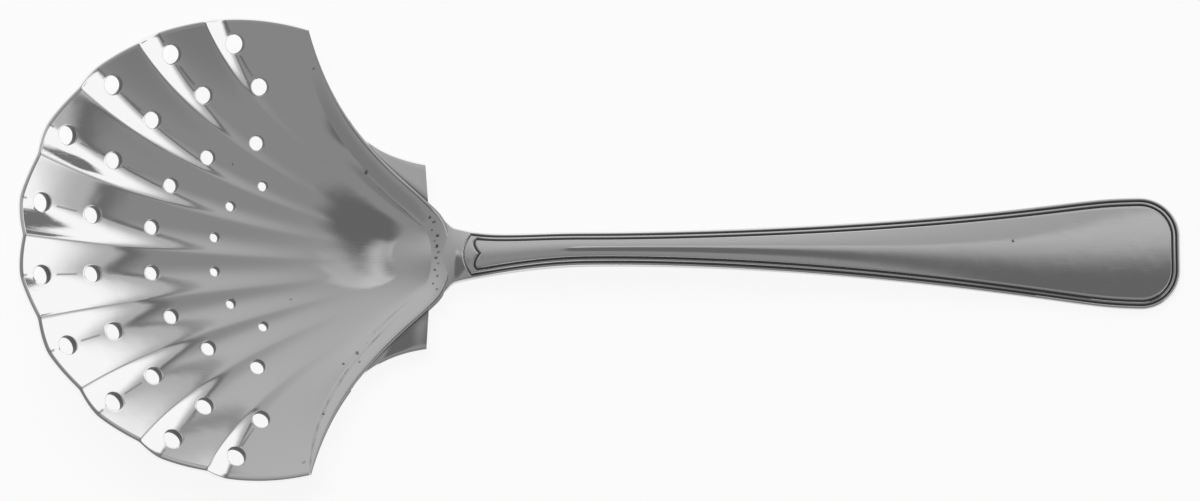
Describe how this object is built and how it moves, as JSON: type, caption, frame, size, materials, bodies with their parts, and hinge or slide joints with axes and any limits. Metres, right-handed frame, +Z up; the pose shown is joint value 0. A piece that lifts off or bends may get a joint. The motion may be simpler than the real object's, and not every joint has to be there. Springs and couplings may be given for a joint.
{
  "type": "pierced serving spoon",
  "caption": "Serving spoon with a fluted shell bowl pierced to drain, a folded collar with ears, and an arched threaded handle.",
  "frame": {"origin": "middle of the outline in plan, on the table that the spoon rests on", "axes": "+X runs from the bowl to the handle's end, +Y is across the spoon, +Z is up, out of the bowl's open side"},
  "size_m": [0.2201, 0.0902, 0.0269],
  "materials": {
    "silver": "polished silver with fine wear scratches"
  },
  "bodies": {
    "root": {"pierced_spoon": "silver"}
  },
  "joints": []
}
